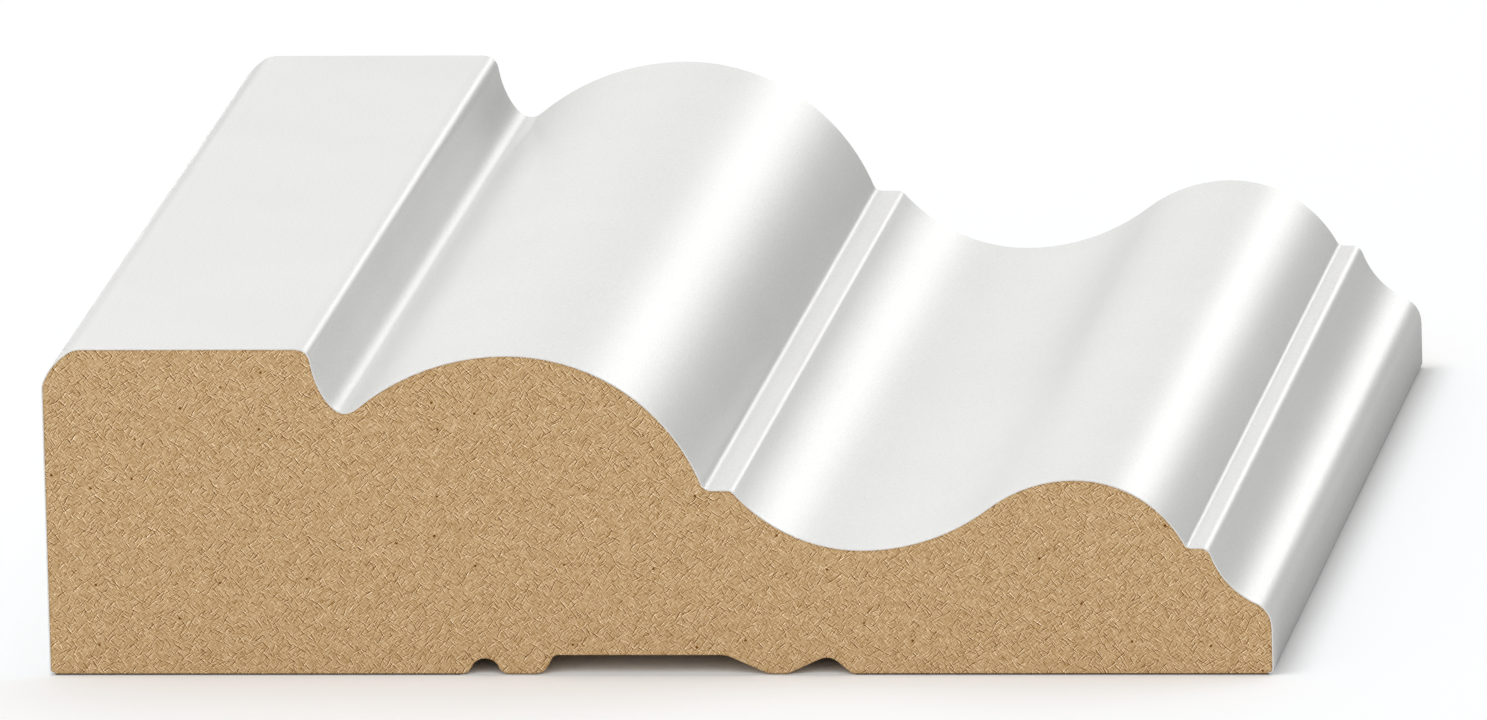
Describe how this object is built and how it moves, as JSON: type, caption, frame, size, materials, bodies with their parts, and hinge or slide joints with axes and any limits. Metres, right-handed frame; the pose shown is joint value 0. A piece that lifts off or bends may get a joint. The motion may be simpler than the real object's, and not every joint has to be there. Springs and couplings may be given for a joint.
{
  "type": "casing moulding",
  "caption": "Length of door and window casing in primed MDF: flat band, quirk, ovolo, cove and bead stepping down to a thin edge, grooved back, both ends cut square.",
  "frame": {"origin": "middle of the back's underside, centre of the bounding box in X and Y", "axes": "+X from the thick outer edge to the thin inner edge, +Y along the moulding away from the pictured cut end, +Z from the back towards the moulded face"},
  "size_m": [0.095, 0.116, 0.0256],
  "materials": {
    "primer": "satin white primer over MDF",
    "mdf": "bare sawn MDF on the cut ends and back"
  },
  "bodies": {
    "root": {"casing": "primer"}
  },
  "joints": []
}
